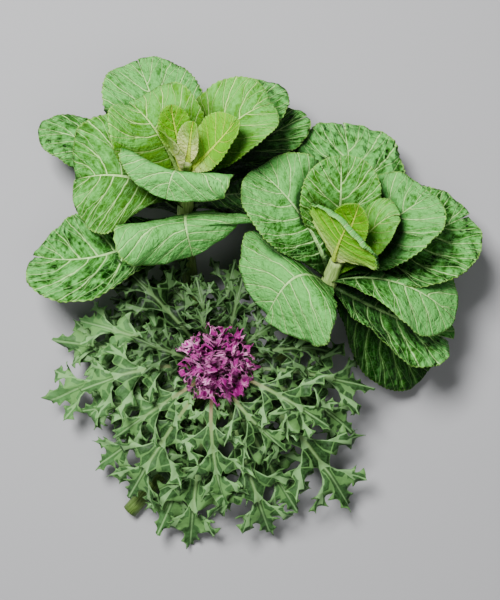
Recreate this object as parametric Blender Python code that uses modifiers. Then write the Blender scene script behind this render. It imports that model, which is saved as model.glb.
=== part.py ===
"""A bunch of three cut kales lying together: two smooth-leaved heads and one feathered head.

Metres, +Z up. The bunch lies on the plane z = 0 with two heads at its +Y end and one, with the cut
stems, at its -Y end. The origin is under the middle of it. Each kale is three pieces: a cut stem, a crown
of leaves on the top of that stem, and the heart in its middle.
"""

import math
from collections import namedtuple

import bmesh
import bpy
import numpy as np
from mathutils import Vector
from mathutils.geometry import delaunay_2d_cdt

# Driving dimensions, in metres
MM = 0.001
CENTRE = (2.27 * MM, -8.2 * MM, 0.0)  # the middle of the bunch, in the directions of the tables below
BLADE = 0.9 * MM  # thickness of a leaf blade
RIB = 3.6 * MM  # thickness of a large smooth leaf along its midrib, at the foot
LARGE_LEAF = 90  # from this width on, in mm, a smooth leaf has that thickness
FEATHER_RIB = 2.6 * MM  # the same on a feathered leaf
CROWN_RADIUS = 8.5 * MM  # the stem inside a crown of leaves
ROOT_DEPTH = 4.5 * MM  # how deep a leaf's foot is sunk into the crown
CROWN_TOP_RADIUS = 6.0 * MM  # the same stem at its top
CORE_RADIUS = 6.0 * MM  # the core of a heart, at its top
CORE_NECK_RADIUS = 3.2 * MM  # the same core where it stands over the crown
CROWN_FOOT = 14 * MM  # how far a crown's stem goes on below its lowest leaf
GAP = 0.4 * MM  # clearance between a crown and what stands on or hangs from it
CUT_RADIUS = 7.5 * MM  # a stem at its cut end
BLUNT = 2.3  # how blunt a smooth leaf's end is: 1 is a straight point, 2 a round end
SLIM = 1.5  # how slim it is towards its foot
STEM_SIDES = 10
VEIN_ROWS = 7  # rows of faces from a smooth leaf's foot to its tip
HALF_COLUMNS = 2  # columns of faces from its midrib to its margin
HEART_ROWS = 5  # the same rows on a leaf of a heart
WELD = 0.001 * MM  # points nearer than this are one
PRESSED = 0.2 * MM  # what lies nearer than this to the surface is pressed flat on it
SPINE_STEPS = 40  # steps in which a midrib is measured
SHARP = math.radians(40)  # faces that meet at a larger angle keep their edge

Head = namedtuple("Head", "foot tilt heading length")
Leaf = namedtuple("Leaf", "height azimuth middle tip width cup roll wave blunt slim", defaults=(BLUNT, SLIM))

# foot is where the lowest leaf grows, in mm. The head's axis leans by tilt degrees from upright towards
# heading, and length is that of the crown, in mm.
LEFT = Head((-60, 80, 74), 48, 88, 44)
RIGHT = Head((73, 15, 78), 48, 73, 30)
FEATHER = Head((-30, -66, 52), 8, 90, 36)

# Where a leaf's midrib starts: height along the crown in mm, and azimuth round it in degrees, from its
# back over its right. middle and tip are where the midrib passes and ends, in mm. width is in mm. cup and
# wave are shares of the half width: how far the margins rise and ripple. roll turns the tip, in degrees.
# The last two numbers, where they are there, are how blunt its end is and how slim it is towards its foot.
LEFT_LEAVES = [
    Leaf(0, 300, (-104, 118, 26), (-124, 156, -14), 70, 0.0, 0, 0.02),
    Leaf(0, 20, (-34, 136, 26), (-18, 184, -14), 80, 0.0, 0, 0.02),
    Leaf(2, 258, (-132, 43, 78), (-206, 42, 50), 92, 0.10, 15, 0.06),
    Leaf(4, 156, (-58, 67, 122), (-52, 40, 102), 132, -0.02, 0, 0.01, 1.5, 2.6),
    Leaf(6, 96, (-26, 98, 68), (8, 99, 50), 80, 0.10, 0, 0.06),
    Leaf(8, 292, (-140, 142, 66), (-201, 162, 52), 58, -0.15, 20, 0.06),
    Leaf(12, 282, (-110, 112, 104), (-163, 111, 84), 112, 0.15, 42, 0.05, 2.3, 3.2),
    Leaf(16, 60, (0, 142, 72), (54, 174, 54), 56, 0.05, -15, 0.06),
    Leaf(20, 348, (-84, 168, 88), (-106, 226, 62), 92, 0.05, 0, 0.05),
    Leaf(22, 34, (-14, 160, 86), (25, 203, 66), 70, 0.08, 0, 0.05),
    Leaf(27, 346, (-83, 150, 118), (-110, 179, 110), 88, 0.30, 0, 0.04),
    Leaf(28, 192, (-66, 115, 139), (-75, 90, 130), 108, -0.02, 0, 0.01, 1.5, 2.6),
    Leaf(28, 70, (-22, 153, 116), (20, 179, 108), 78, 0.30, -20, 0.04),
]
RIGHT_LEAVES = [
    Leaf(-2, 350, (96, 98, 26), (98, 142, -14), 80, 0.0, 0, 0.02),
    Leaf(-2, 60, (138, 48, 28), (176, 56, -14), 76, 0.0, 0, 0.02),
    Leaf(-4, 125, (124, -30, 46), (174, -70, 12), 84, 0.0, -15, 0.04),
    Leaf(0, 130, (126, -12, 80), (190, -38, 58), 84, 0.10, 0, 0.10),
    Leaf(2, 218, (40, 20, 126), (15, -17, 95), 134, -0.05, 0, 0.04, 1.7, 2.0),
    Leaf(4, 335, (54, 89, 72), (38, 150, 44), 76, 0.08, 0, 0.05),
    Leaf(6, 352, (92, 98, 72), (89, 170, 38), 106, 0.08, 0, 0.05),
    Leaf(5, 48, (140, 50, 79), (207, 80, 58), 106, 0.10, -12, 0.05),
    Leaf(8, 128, (137, 15, 103), (190, -18, 84), 82, -0.05, 0, 0.03, 2.0, 1.2),
    Leaf(8, 320, (48, 75, 104), (6, 121, 96), 94, 0.18, 10, 0.04),
    Leaf(8, 40, (122, 66, 100), (168, 97, 92), 92, 0.15, 0, 0.04),
    Leaf(9, 352, (82, 83, 103), (82, 131, 112), 74, 0.12, 0, 0.03),
    Leaf(11, 55, (113, 66, 114), (135, 76, 120), 54, 0.14, 0, 0.03),
]
LEFT_HEART = [
    Leaf(48, 58, (-28, 141, 138), (-11, 160, 150), 46, 0.35, 0, 0.02),
    Leaf(50, 250, (-70, 136, 134), (-81, 150, 149), 34, 0.4, 0, 0.02),
    Leaf(53, 350, (-67, 155, 138), (-69, 172, 151), 30, 0.2, 0, 0.02),
    Leaf(55, 30, (-53, 143, 139), (-50, 157, 151), 22, 0.4, 0, 0.02),
]
RIGHT_HEART = [
    Leaf(34, 210, (80, 50, 124), (87, 68, 151), 88, 0.12, 0, 0.02),
    Leaf(36, 20, (91, 67, 130), (96, 84, 150), 36, 0.35, 0, 0.02),
]
FEATHER_LEAVES = [
    Leaf(2, 262, (-104, -66, 56), (-196, -98, 26), 70, 0.0, 0, 0.06),
    Leaf(1, 285, (-110, -49, 50), (-187, -41, 20), 66, 0.0, 0, 0.06),
    Leaf(2, 205, (-50, -130, 48), (-88, -225, 20), 66, 0.0, 0, 0.06),
    Leaf(4, 182, (-47, -143, 56), (-59, -245, 10), 74, 0.0, 0, 0.06),
    Leaf(7, 165, (-8, -140, 66), (21, -232, 28), 78, 0.0, 0, 0.06),
    Leaf(1, 150, (6, -135, 52), (47, -206, 30), 66, 0.0, 0, 0.06),
    Leaf(7, 138, (34, -113, 70), (99, -202, 30), 76, 0.0, 0, 0.06),
    Leaf(4, 115, (46, -90, 60), (98, -128, 36), 64, 0.0, 0, 0.06),
    Leaf(9, 97, (38, -66, 80), (112, -84, 50), 72, 0.0, 0, 0.06),
    Leaf(9, 76, (26, -46, 83), (77, -47, 72), 54, 0.0, 0, 0.06),
    Leaf(7, 44, (6, -34, 76), (38, -12, 72), 50, 0.0, 0, 0.06),
    Leaf(5, 5, (-24, -9, 62), (-14, 38, 50), 60, 0.0, 0, 0.06),
    Leaf(6, 332, (-56, -12, 66), (-84, 36, 56), 56, 0.0, 0, 0.06),
    Leaf(12, 308, (-75, -11, 88), (-122, 35, 82), 62, 0.0, 0, 0.06),
    Leaf(4, 300, (-80, -19, 62), (-134, 2, 40), 56, 0.0, 0, 0.06),
    Leaf(8, 280, (-96, -38, 74), (-165, -19, 46), 64, 0.0, 0, 0.06),
    Leaf(9, 240, (-93, -90, 68), (-163, -107, 38), 62, 0.0, 0, 0.06),
    Leaf(5, 226, (-86, -114, 52), (-150, -162, 26), 62, 0.0, 0, 0.06),
    Leaf(14, 262, (-93, -63, 92), (-153, -85, 62), 70, 0.0, 0, 0.06),
    Leaf(13, 226, (-80, -96, 82), (-124, -127, 58), 60, 0.0, 0, 0.06),
    Leaf(10, 210, (-67, -110, 80), (-119, -193, 42), 72, 0.0, 0, 0.06),
    Leaf(14, 184, (-36, -120, 86), (-24, -196, 52), 68, 0.0, 0, 0.06),
    Leaf(16, 155, (-6, -102, 92), (32, -138, 74), 68, 0.0, 0, 0.06),
    Leaf(15, 122, (20, -84, 92), (72, -118, 72), 64, 0.0, 0, 0.06),
    Leaf(18, 290, (-72, -48, 98), (-108, -34, 94), 44, 0.0, 0, 0.06),
    Leaf(20, 345, (-42, -24, 92), (-50, -6, 92), 40, 0.0, 0, 0.06),
    Leaf(12, 352, (-40, -22, 82), (-50, 22, 86), 46, 0.0, 0, 0.06),
    Leaf(11, 20, (-18, -24, 80), (-6, 26, 82), 46, 0.0, 0, 0.06),
    Leaf(19, 50, (-2, -38, 94), (20, -24, 90), 40, 0.0, 0, 0.06),
]
# A feathered head's heart: rings of small ruffled leaves, as how many, their height on the core, how far
# their tips stand out from the axis and above the feet, their width and where the first one is.
FRILLS = [(6, 0, 34, 14, 27, 10), (4, 5, 20, 26, 22, 40), (2, 10, 7, 30, 15, 75)]
FRILL_CORE = 20  # the core of that heart, in mm
FRILL_CORE_RADIUS = 7.8 * MM
FRILL_FOOT = 5.5  # how high its lowest ring stands on that core, in mm
FRILL_ROWS = 4  # rows of faces on each of its leaves

# Where the stems run below their crowns, in mm, the last point at the cut.
LEFT_STEM = [(-59, 26, 25), (-50, -20, 7.7), (-14, -88, 7.5), (12, -176, 7.5)]
RIGHT_STEM = [(58, -34, 34), (30, -52, 27), (-13, -87, 25.5), (-65, -147, 16), (-118, -207, 7.3)]
FEATHER_STEM = [(-31, -70, 30), (-36, -80, 14), (-56, -103, 8.0), (-104, -157, 7.5)]

SMOOTH_KALES = [
    ("left_head", LEFT, LEFT_LEAVES, LEFT_HEART, LEFT_STEM),
    ("right_head", RIGHT, RIGHT_LEAVES, RIGHT_HEART, RIGHT_STEM),
]

# Colour, as linear red, green and blue, and roughness of each piece
FINISHES = {
    "left_head_leaves": ((0.29, 0.49, 0.20), 0.50),
    "left_head_heart": ((0.68, 0.66, 0.36), 0.45),
    "left_head_stem": ((0.11, 0.19, 0.04), 0.45),
    "right_head_leaves": ((0.26, 0.45, 0.19), 0.50),
    "right_head_heart": ((0.31, 0.45, 0.04), 0.45),
    "right_head_stem": ((0.13, 0.20, 0.05), 0.45),
    "feathered_head_leaves": ((0.05, 0.13, 0.03), 0.55),
    "feathered_head_heart": ((0.42, 0.05, 0.29), 0.50),
    "feathered_head_stem": ((0.20, 0.22, 0.09), 0.45),
}


class Frame:
    """A head's own directions: its axis, its back and its right side."""

    def __init__(self, head):
        tilt, heading = math.radians(head.tilt), math.radians(head.heading)
        level = np.array([math.cos(heading), math.sin(heading), 0.0])
        up = np.array([0.0, 0.0, 1.0])
        self.foot = np.array(head.foot) * MM
        self.axis = level * math.sin(tilt) + up * math.cos(tilt)
        self.back = level * math.cos(tilt) - up * math.sin(tilt)
        self.right = np.cross(self.back, self.axis)

    def outward(self, azimuth):
        turn = math.radians(azimuth)
        return self.back * math.cos(turn) + self.right * math.sin(turn)


def unit(vectors):
    return vectors / np.linalg.norm(vectors, axis=-1, keepdims=True)


class Spine:
    """A leaf's midrib: its points and its directions, by share of its length from foot to tip."""

    def __init__(self, frame, leaf):
        outward = frame.outward(leaf.azimuth)
        foot = frame.foot + frame.axis * leaf.height * MM + outward * (CROWN_RADIUS - ROOT_DEPTH)
        middle, tip = np.array(leaf.middle) * MM, np.array(leaf.tip) * MM
        pull = 2 * middle - (foot + tip) / 2
        t = np.linspace(0, 1, SPINE_STEPS + 1)[:, None]
        self.points = (1 - t) ** 2 * foot + 2 * t * (1 - t) * pull + t**2 * tip
        along = unit((1 - t) * (pull - foot) + t * (tip - pull))
        steps = np.linalg.norm(np.diff(self.points, axis=0), axis=1)
        run = np.concatenate([[0], np.cumsum(steps)])
        self.length = run[-1]
        self.share = run / run[-1]
        side = np.cross(frame.axis, outward)
        side = unit(side - along * (along @ side)[:, None])
        face = np.cross(along, side)
        turned = np.clip(self.share / 0.5, 0, 1)
        roll = np.radians(leaf.roll) * (turned**2 * (3 - 2 * turned))[:, None]
        self.side = np.cos(roll) * side - np.sin(roll) * face
        self.face = np.cos(roll) * face + np.sin(roll) * side

    def at(self, share, what):
        return np.stack([np.interp(share, self.share, what[:, i]) for i in range(3)], axis=-1)

    def place(self, along, across, lift):
        """Points of the blade: along is a share of the midrib, across and lift are in metres."""
        return (
            self.at(along, self.points)
            + self.at(along, self.side) * across[:, None]
            + self.at(along, self.face) * lift[:, None]
        )


def margin_half_width(along, blunt, slim):
    """Half width of a smooth leaf, as a share of its largest, at shares of its length."""
    widest = 0.62
    foot = 0.13
    rise = foot + (1 - foot) * np.sin(np.clip(along / widest, 0, 1) * math.pi / 2) ** slim
    fall = np.clip(1 - (np.clip(along - widest, 0, 1) / (1 - widest)) ** blunt, 0, 1) ** (1 / blunt)
    return np.where(along < widest, rise, fall)


def fan_of_veins(rows, columns, blunt, slim):
    """Along and across shares of a smooth leaf's points, in rows that follow its side veins."""
    fine = np.linspace(0, 1, 400)
    width = margin_half_width(fine, blunt, slim) * 0.5
    run = np.concatenate([[0], np.cumsum(np.hypot(np.diff(fine), np.diff(width)))])
    share = np.linspace(0, 1, rows + 1)
    margin_along = np.interp(share * run[-1], run, fine)
    margin_across = margin_half_width(margin_along, blunt, slim)
    margin_across[-1] = 0.0
    rib_along = 0.90 * share**1.15
    out = np.linspace(0, 1, columns + 1)
    along = rib_along[:, None] + (margin_along - rib_along)[:, None] * out
    return along, margin_across[:, None] * out, share, out


def smooth_blade(frame, leaf, rows=VEIN_ROWS, columns=HALF_COLUMNS):
    """Points, faces and thicknesses of a broad smooth leaf's upper face."""
    spine = Spine(frame, leaf)
    along, across, share, out = fan_of_veins(rows, columns, leaf.blunt, leaf.slim)
    half = leaf.width * MM / 2
    rib = (RIB - BLADE) * min(1, leaf.width / LARGE_LEAF)
    points, thick, index = [], [], {}
    for side in (1, -1):
        ripple = np.sin(2 * math.pi * (2.3 * share + 0.3 * side) + leaf.azimuth)[:, None]
        lift = half * (leaf.cup * across * out + leaf.wave * ripple * out**2)
        placed = spine.place(along.ravel(), side * half * across.ravel(), lift.ravel())
        for n, place in enumerate(placed):
            row, column = divmod(n, columns + 1)
            key = (row, side * column)
            if row == rows:
                key = (row, column)
            if key in index:
                continue
            index[key] = len(points)
            points.append(place)
            keel = (1 - share[row]) ** 1.5 if column == 0 else 0.0
            thick.append(BLADE + rib * keel)
    faces = []
    for side in (1, -1):
        for row in range(rows):
            for column in range(columns):
                corners = [(row, column), (row, column + 1), (row + 1, column + 1), (row + 1, column)]
                loop = [index.get((r, side * c), index.get((r, c))) for r, c in corners]
                faces.append(loop[::-side])
    return np.array(points), faces, np.array(thick)


# A lobe's corners as shares of its length and of its breadth, from the side of the leaf's foot.
LOBE = [(0.50, -0.50), (1.00, -0.05), (0.66, 0.48)]
# Where the lobes of a feathered leaf stand on its midrib, how far they turn from it, their length and
# their breadth, as shares of the leaf's length.
LOBES = [(0.30, 82, 0.14, 0.08), (0.43, 70, 0.28, 0.11), (0.58, 56, 0.34, 0.12), (0.74, 42, 0.27, 0.11)]
SINUS = 0.030  # half width of the blade between two lobes
STALK = 0.016  # half width of the stalk


def feather_outline(draw, stretch):
    """One feathered leaf's outline, as shares of its length, from its foot round its tip and back."""
    halves = []
    for side in (1, -1):
        half = [(0.0, STALK), (LOBES[0][0] - 0.08, STALK)]
        for stand, turn, size, breadth in LOBES:
            angle = math.radians(turn + draw.uniform(-6, 6))
            reach = size * stretch * draw.uniform(0.85, 1.15)
            for forward, sideways in LOBE:
                a, b = forward * reach, sideways * breadth
                x = stand + a * math.cos(angle) + b * math.sin(angle)
                y = a * math.sin(angle) - b * math.cos(angle)
                half.append((x, max(y, SINUS)))
            half.append((stand + 0.105, SINUS))
        half.append((0.91, 0.060))
        halves.append([(x, side * y) for x, y in half])
    return halves[0] + [(1.0, 0.0)] + halves[1][::-1]


def feather_blade(frame, leaf, draw):
    """Points, faces and thicknesses of a lobed leaf's upper face."""
    spine = Spine(frame, leaf)
    stretch = leaf.width * MM / spine.length / 0.5
    outline = feather_outline(draw, stretch)
    middle = [(s, 0.0) for s in (0.12, 0.26, 0.38, 0.52, 0.67, 0.82)]
    count = len(outline)
    rim = [(i, (i + 1) % count) for i in range(count)]
    flat = [Vector(p) for p in outline + middle]
    placed, _, faces, _, _, _ = delaunay_2d_cdt(flat, rim, [list(range(count))], 1, 1e-6)
    places = np.array([tuple(p) for p in placed])
    along, across = np.clip(places[:, 0], 0, 1), places[:, 1]
    out = np.abs(across) / 0.36
    ripple = np.sin(along * 21 + np.sign(across) * 1.3 + leaf.azimuth)
    lift = spine.length * (leaf.cup * out**1.5 + leaf.wave * ripple * out)
    points = spine.place(along, across * spine.length, lift)
    keel = np.where(np.abs(across) < 1e-4, (FEATHER_RIB - BLADE) * (1 - along), 0.0)
    return points, [list(f) for f in faces], BLADE + keel


def blade_object(name, blade):
    """A leaf blade: its upper face is a sheet, and Solidify gives it its thickness below."""
    points, faces, thick = blade
    points[:, 2] = np.maximum(points[:, 2], thick)
    mesh = bpy.data.meshes.new(name)
    mesh.from_pydata(points.tolist(), [], faces)
    made = bpy.data.objects.new(name, mesh)
    weights = made.vertex_groups.new(name="thickness")
    for number, share in enumerate(thick / RIB):
        weights.add([number], float(share), "REPLACE")
    body = made.modifiers.new("thickness", "SOLIDIFY")
    body.thickness = RIB
    body.offset = -1
    body.vertex_group = weights.name
    return made


def along_axis(name, head, low, high, radii):
    """A conical piece of stem on a head's axis, from low to high in mm above its foot."""
    frame = Frame(head)
    depth = (high - low) * MM
    bpy.ops.mesh.primitive_cone_add(
        vertices=STEM_SIDES, radius1=radii[0], radius2=radii[1], depth=depth
    )
    made = bpy.context.object
    made.name = name
    made.rotation_mode = "QUATERNION"
    made.rotation_quaternion = Vector(frame.axis).to_track_quat("Z", "Y")
    made.location = Vector(frame.foot + frame.axis * (low + high) / 2 * MM)
    return made


def stem(name, head, route):
    """A cut stem: a smooth curve from under the crown through the points of its route."""
    frame = Frame(head)
    start = frame.foot - frame.axis * (CROWN_FOOT + GAP)
    neck = start - frame.axis * 8 * MM
    points = [start, neck] + [np.array(p) * MM for p in route]
    curve = bpy.data.curves.new(name, "CURVE")
    curve.dimensions = "3D"
    curve.bevel_depth = CUT_RADIUS
    curve.bevel_resolution = 2
    curve.use_fill_caps = True
    curve.resolution_u = 4
    spline = curve.splines.new("NURBS")
    spline.points.add(len(points) - 1)
    for number, place in enumerate(points):
        spline.points[number].co = (*place, 1.0)
        spline.points[number].radius = 1.06 if number < 2 else 1.0
    spline.order_u = 3
    spline.use_endpoint_u = True
    made = bpy.data.objects.new(name, curve)
    bpy.context.scene.collection.objects.link(made)
    return made


def shells_of(mesh):
    """The faces of a mesh in groups that hang together at edges of two faces."""
    waiting = set(mesh.faces)
    while waiting:
        shell, found = [], [waiting.pop()]
        while found:
            face = found.pop()
            shell.append(face)
            plain = [edge for edge in face.edges if len(edge.link_faces) == 2]
            beside = {other for edge in plain for other in edge.link_faces} & waiting
            waiting -= beside
            found.extend(beside)
        yield shell


def settle(body):
    """Makes the pockets between crossing leaves solid, and presses flat what lies on the surface."""
    mesh = bmesh.new()
    mesh.from_mesh(body.data)
    bmesh.ops.remove_doubles(mesh, verts=mesh.verts[:], dist=WELD)
    bmesh.ops.triangulate(mesh, faces=mesh.faces[:])
    outside = max(shells_of(mesh), key=len)
    pockets = set(mesh.faces) - set(outside)
    bmesh.ops.delete(mesh, geom=list(pockets), context="FACES")
    mesh.transform(body.matrix_world)
    for corner in mesh.verts:
        if corner.co.z < PRESSED:
            corner.co.z = 0.0
    mesh.transform(body.matrix_world.inverted())
    mesh.to_mesh(body.data)
    mesh.free()


def fuse(body, blades):
    """Joins the blades to the body with one union, and removes them."""
    group = bpy.data.collections.new(body.name + "_blades")
    bpy.context.scene.collection.children.link(group)
    for blade in blades:
        group.objects.link(blade)
    union = body.modifiers.new("leaves", "BOOLEAN")
    union.operation = "UNION"
    union.operand_type = "COLLECTION"
    union.collection = group
    union.solver = "MANIFOLD"
    bpy.context.view_layer.objects.active = body
    bpy.ops.object.modifier_apply(modifier=union.name)
    for blade in blades:
        bpy.data.objects.remove(blade)
    bpy.data.collections.remove(group)
    settle(body)
    return body


def crown(name, head):
    """The top of a kale's stem, which its leaves grow from."""
    return along_axis(name, head, -CROWN_FOOT / MM, head.length, (CROWN_RADIUS, CROWN_TOP_RADIUS))


def smooth_head(name, head, leaves):
    """A crown with its broad smooth leaves."""
    frame = Frame(head)
    blades = [blade_object(f"{name}_{n}", smooth_blade(frame, leaf)) for n, leaf in enumerate(leaves)]
    return fuse(crown(name, head), blades)


def smooth_heart(name, head, leaves):
    """The small young leaves in the middle of a smooth head, on a core of their own."""
    frame = Frame(head)
    low = head.length + GAP / MM
    high = max(leaf.height for leaf in leaves) + 4
    body = along_axis(name, head, low, high, (CORE_NECK_RADIUS, CORE_RADIUS))
    blades = [
        blade_object(f"{name}_{n}", smooth_blade(frame, leaf, HEART_ROWS)) for n, leaf in enumerate(leaves)
    ]
    return fuse(body, blades)


def feather_head(name, head, leaves):
    """A crown with its lobed leaves, each with a shape of its own."""
    frame = Frame(head)
    draw = np.random.default_rng(7)
    blades = [blade_object(f"{name}_{n}", feather_blade(frame, leaf, draw)) for n, leaf in enumerate(leaves)]
    return fuse(crown(name, head), blades)


def frill_leaves(head):
    """The small leaves of a feathered head's heart, ring by ring."""
    frame = Frame(head)
    foot = head.length + GAP / MM + FRILL_FOOT
    leaves = []
    for count, height, out, up, width, first in FRILLS:
        for n in range(count):
            azimuth = first + 360 / count * n
            outward = frame.outward(azimuth)
            base = frame.foot / MM + frame.axis * (foot + height)
            tip = base + outward * out + frame.axis * up
            middle = base + outward * out * 0.62 + frame.axis * up * 0.42
            leaves.append(Leaf(foot + height, azimuth, middle, tip, width, 0.25, 0, 0.30))
    return leaves


def feather_heart(name, head):
    """The ruffled heart of a feathered head."""
    frame = Frame(head)
    low = head.length + GAP / MM
    body = along_axis(name, head, low, low + FRILL_CORE, (FRILL_CORE_RADIUS, CORE_RADIUS))
    blades = [
        blade_object(f"{name}_{n}", smooth_blade(frame, leaf, FRILL_ROWS, 1))
        for n, leaf in enumerate(frill_leaves(head))
    ]
    return fuse(body, blades)


def finish(made, bunch, parts):
    """Gives a piece its material and puts it in the bunch."""
    colour, roughness = FINISHES[made.name]
    material = bpy.data.materials.new(made.name)
    material.use_nodes = True
    shader = material.node_tree.nodes["Principled BSDF"]
    shader.inputs["Base Color"].default_value = (*colour, 1.0)
    shader.inputs["Roughness"].default_value = roughness
    made.data.materials.append(material)
    if made.type == "MESH":
        made.data.shade_smooth()
        made.data.set_sharp_from_angle(angle=SHARP)
    made.parent = bunch
    for collection in made.users_collection:
        collection.objects.unlink(made)
    parts.objects.link(made)


def build():
    for thing in list(bpy.data.objects):
        bpy.data.objects.remove(thing)
    parts = bpy.data.collections.new("kale_bunch")
    bpy.context.scene.collection.children.link(parts)
    bunch = bpy.data.objects.new("bunch", None)
    bunch.location = [-along for along in CENTRE]
    parts.objects.link(bunch)
    made = []
    for name, head, leaves, heart, route in SMOOTH_KALES:
        made.append(smooth_head(f"{name}_leaves", head, leaves))
        made.append(smooth_heart(f"{name}_heart", head, heart))
        made.append(stem(f"{name}_stem", head, route))
    made.append(feather_head("feathered_head_leaves", FEATHER, FEATHER_LEAVES))
    made.append(feather_heart("feathered_head_heart", FEATHER))
    made.append(stem("feathered_head_stem", FEATHER, FEATHER_STEM))
    for piece in made:
        finish(piece, bunch, parts)


build()
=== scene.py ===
"""Looks of the kale bunch: each leaf is a thin veined blade in the place that the frame's solids hold.

Metres, +Z up. The tables give places in mm, in the frame's directions but with the origin under the camera;
CENTRE is where the frame's own origin lies in them.
"""

import math
from collections import namedtuple
from functools import partialmethod

import bpy
import numpy as np
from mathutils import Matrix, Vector
from mathutils.bvhtree import BVHTree
from mathutils.geometry import delaunay_2d_cdt


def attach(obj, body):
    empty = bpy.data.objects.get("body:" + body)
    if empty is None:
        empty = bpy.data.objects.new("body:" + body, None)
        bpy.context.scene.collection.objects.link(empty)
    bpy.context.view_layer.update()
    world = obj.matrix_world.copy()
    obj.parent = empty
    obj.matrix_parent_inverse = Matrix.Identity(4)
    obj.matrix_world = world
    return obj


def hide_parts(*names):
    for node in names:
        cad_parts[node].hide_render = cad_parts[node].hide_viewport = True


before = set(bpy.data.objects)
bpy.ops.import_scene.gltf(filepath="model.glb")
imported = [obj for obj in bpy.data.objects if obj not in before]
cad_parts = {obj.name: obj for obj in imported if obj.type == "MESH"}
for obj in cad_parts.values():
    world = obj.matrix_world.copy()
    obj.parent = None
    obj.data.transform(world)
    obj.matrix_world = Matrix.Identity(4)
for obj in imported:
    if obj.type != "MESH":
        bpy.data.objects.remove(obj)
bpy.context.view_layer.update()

# Driving dimensions, in metres
MM = 0.001
TURN = 2 * math.pi
CENTRE = np.array((2.27, -8.2, 0.0)) * MM
BLADE = 0.7 * MM  # thickness of a leaf blade
RIB = 3.6 * MM  # thickness of a large smooth leaf's midrib, at the foot
FEATHER_RIB = 2.6 * MM  # the same on a feathered leaf
LARGE_LEAF = 90  # width, in mm, from which a smooth leaf is as thick
CROWN_RADIUS = 8.5 * MM  # the stem inside a crown of leaves
CROWN_TOP_RADIUS = 6.0 * MM  # the same stem at its top
ROOT_DEPTH = 4.5 * MM  # how deep a leaf's foot is sunk into the crown
CORE_RADIUS = 6.0 * MM  # the core of a heart, at its top
CORE_NECK_RADIUS = 3.2 * MM  # the same core where it stands over the crown
CROWN_FOOT = 14 * MM  # how far a crown's stem goes on below its leaves
GAP = 0.4 * MM  # between a crown and what stands on or hangs from it
CUT_RADIUS = 7.5 * MM  # a stem at its cut end
SPINE_STEPS = 60  # steps in which a midrib is measured
ROWS = 76  # rows of faces from a smooth leaf's foot to its tip
COLUMNS = 22  # columns of faces from its midrib to its margin
PUFF = 3.0 * MM  # how far a blade swells up between side veins
SWELL = 1.9 * MM  # how far it undulates beside that
LARGE_HEART_LEAF = 60  # above this width, in mm, a heart's leaf has its margin turned out
FOLD = 0.15  # how much of its half width that margin takes
TOOTH = 1.3 * MM  # how far the teeth of a smooth leaf's margin stand out
BLUNT = 2.3  # how blunt a smooth leaf's end is: 1 is a point, 2 is round
SLIM = 1.5  # how slim it is towards its foot
WIDEST = 0.62  # where a smooth leaf is widest, as a share of its length
NARROW = 0.13  # its width at its foot, as a share of its largest
LEAST_THICK = 0.25  # what is left of a blade's thickness at a sharp crease
PATTERN_STEP = 0.37  # between the patterns of two leaves
VEIN_REACH = 20 * MM  # distance from a vein that a feathered leaf's finish can tell
FLOOR_DROP = 0.3 * MM  # how far the floor lies below the bunch
FLOOR_REACH = 6.0
CAMERA_HEIGHT = 1.397
CAMERA_LENS = 85.0

Head = namedtuple("Head", "foot tilt heading length")
LEAF_FIELDS = "height azimuth middle tip width cup roll wave look blunt slim"
Leaf = namedtuple("Leaf", LEAF_FIELDS, defaults=(BLUNT, SLIM))

# foot is where the lowest leaf grows, in mm. The head's axis leans by tilt degrees from upright towards
# heading, and length is that of the crown, in mm.
LEFT = Head((-60, 80, 74), 48, 88, 44)
RIGHT = Head((73, 15, 78), 48, 73, 30)
FEATHER = Head((-30, -66, 52), 8, 90, 36)

# How a smooth leaf looks: how waxy, how young and yellow, and how crinkled it is between its veins. The
# first number also carries painted light and shade.
LOOKS = {
    "turned": (1.6, 0.0, 0.1),
    # waxy, and painted lighter as well, as the light falls on these front leaves
    "frosted": (1.1, 0.0, 0.25),
    "waxy": (0.74, 0.0, 0.4),
    "savoyed": (0.66, 0.0, 1.00),
    "crinkled": (0.44, 0.0, 1.00),
    "green": (0.34, 0.1, 0.45),
    "outer": (0.12, 0.0, 0.7),
    # painted as in shade, for leaves that lie beneath others
    "deep": (-0.6, 0.0, 0.6),
    "inner": (0.62, 0.3, 0.2),
    "young": (0.15, 0.9, 0.1),
    "cream": (0.15, 1.15, 0.08),
    "frill": (0.0, 0.0, 0.3),
}

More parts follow.
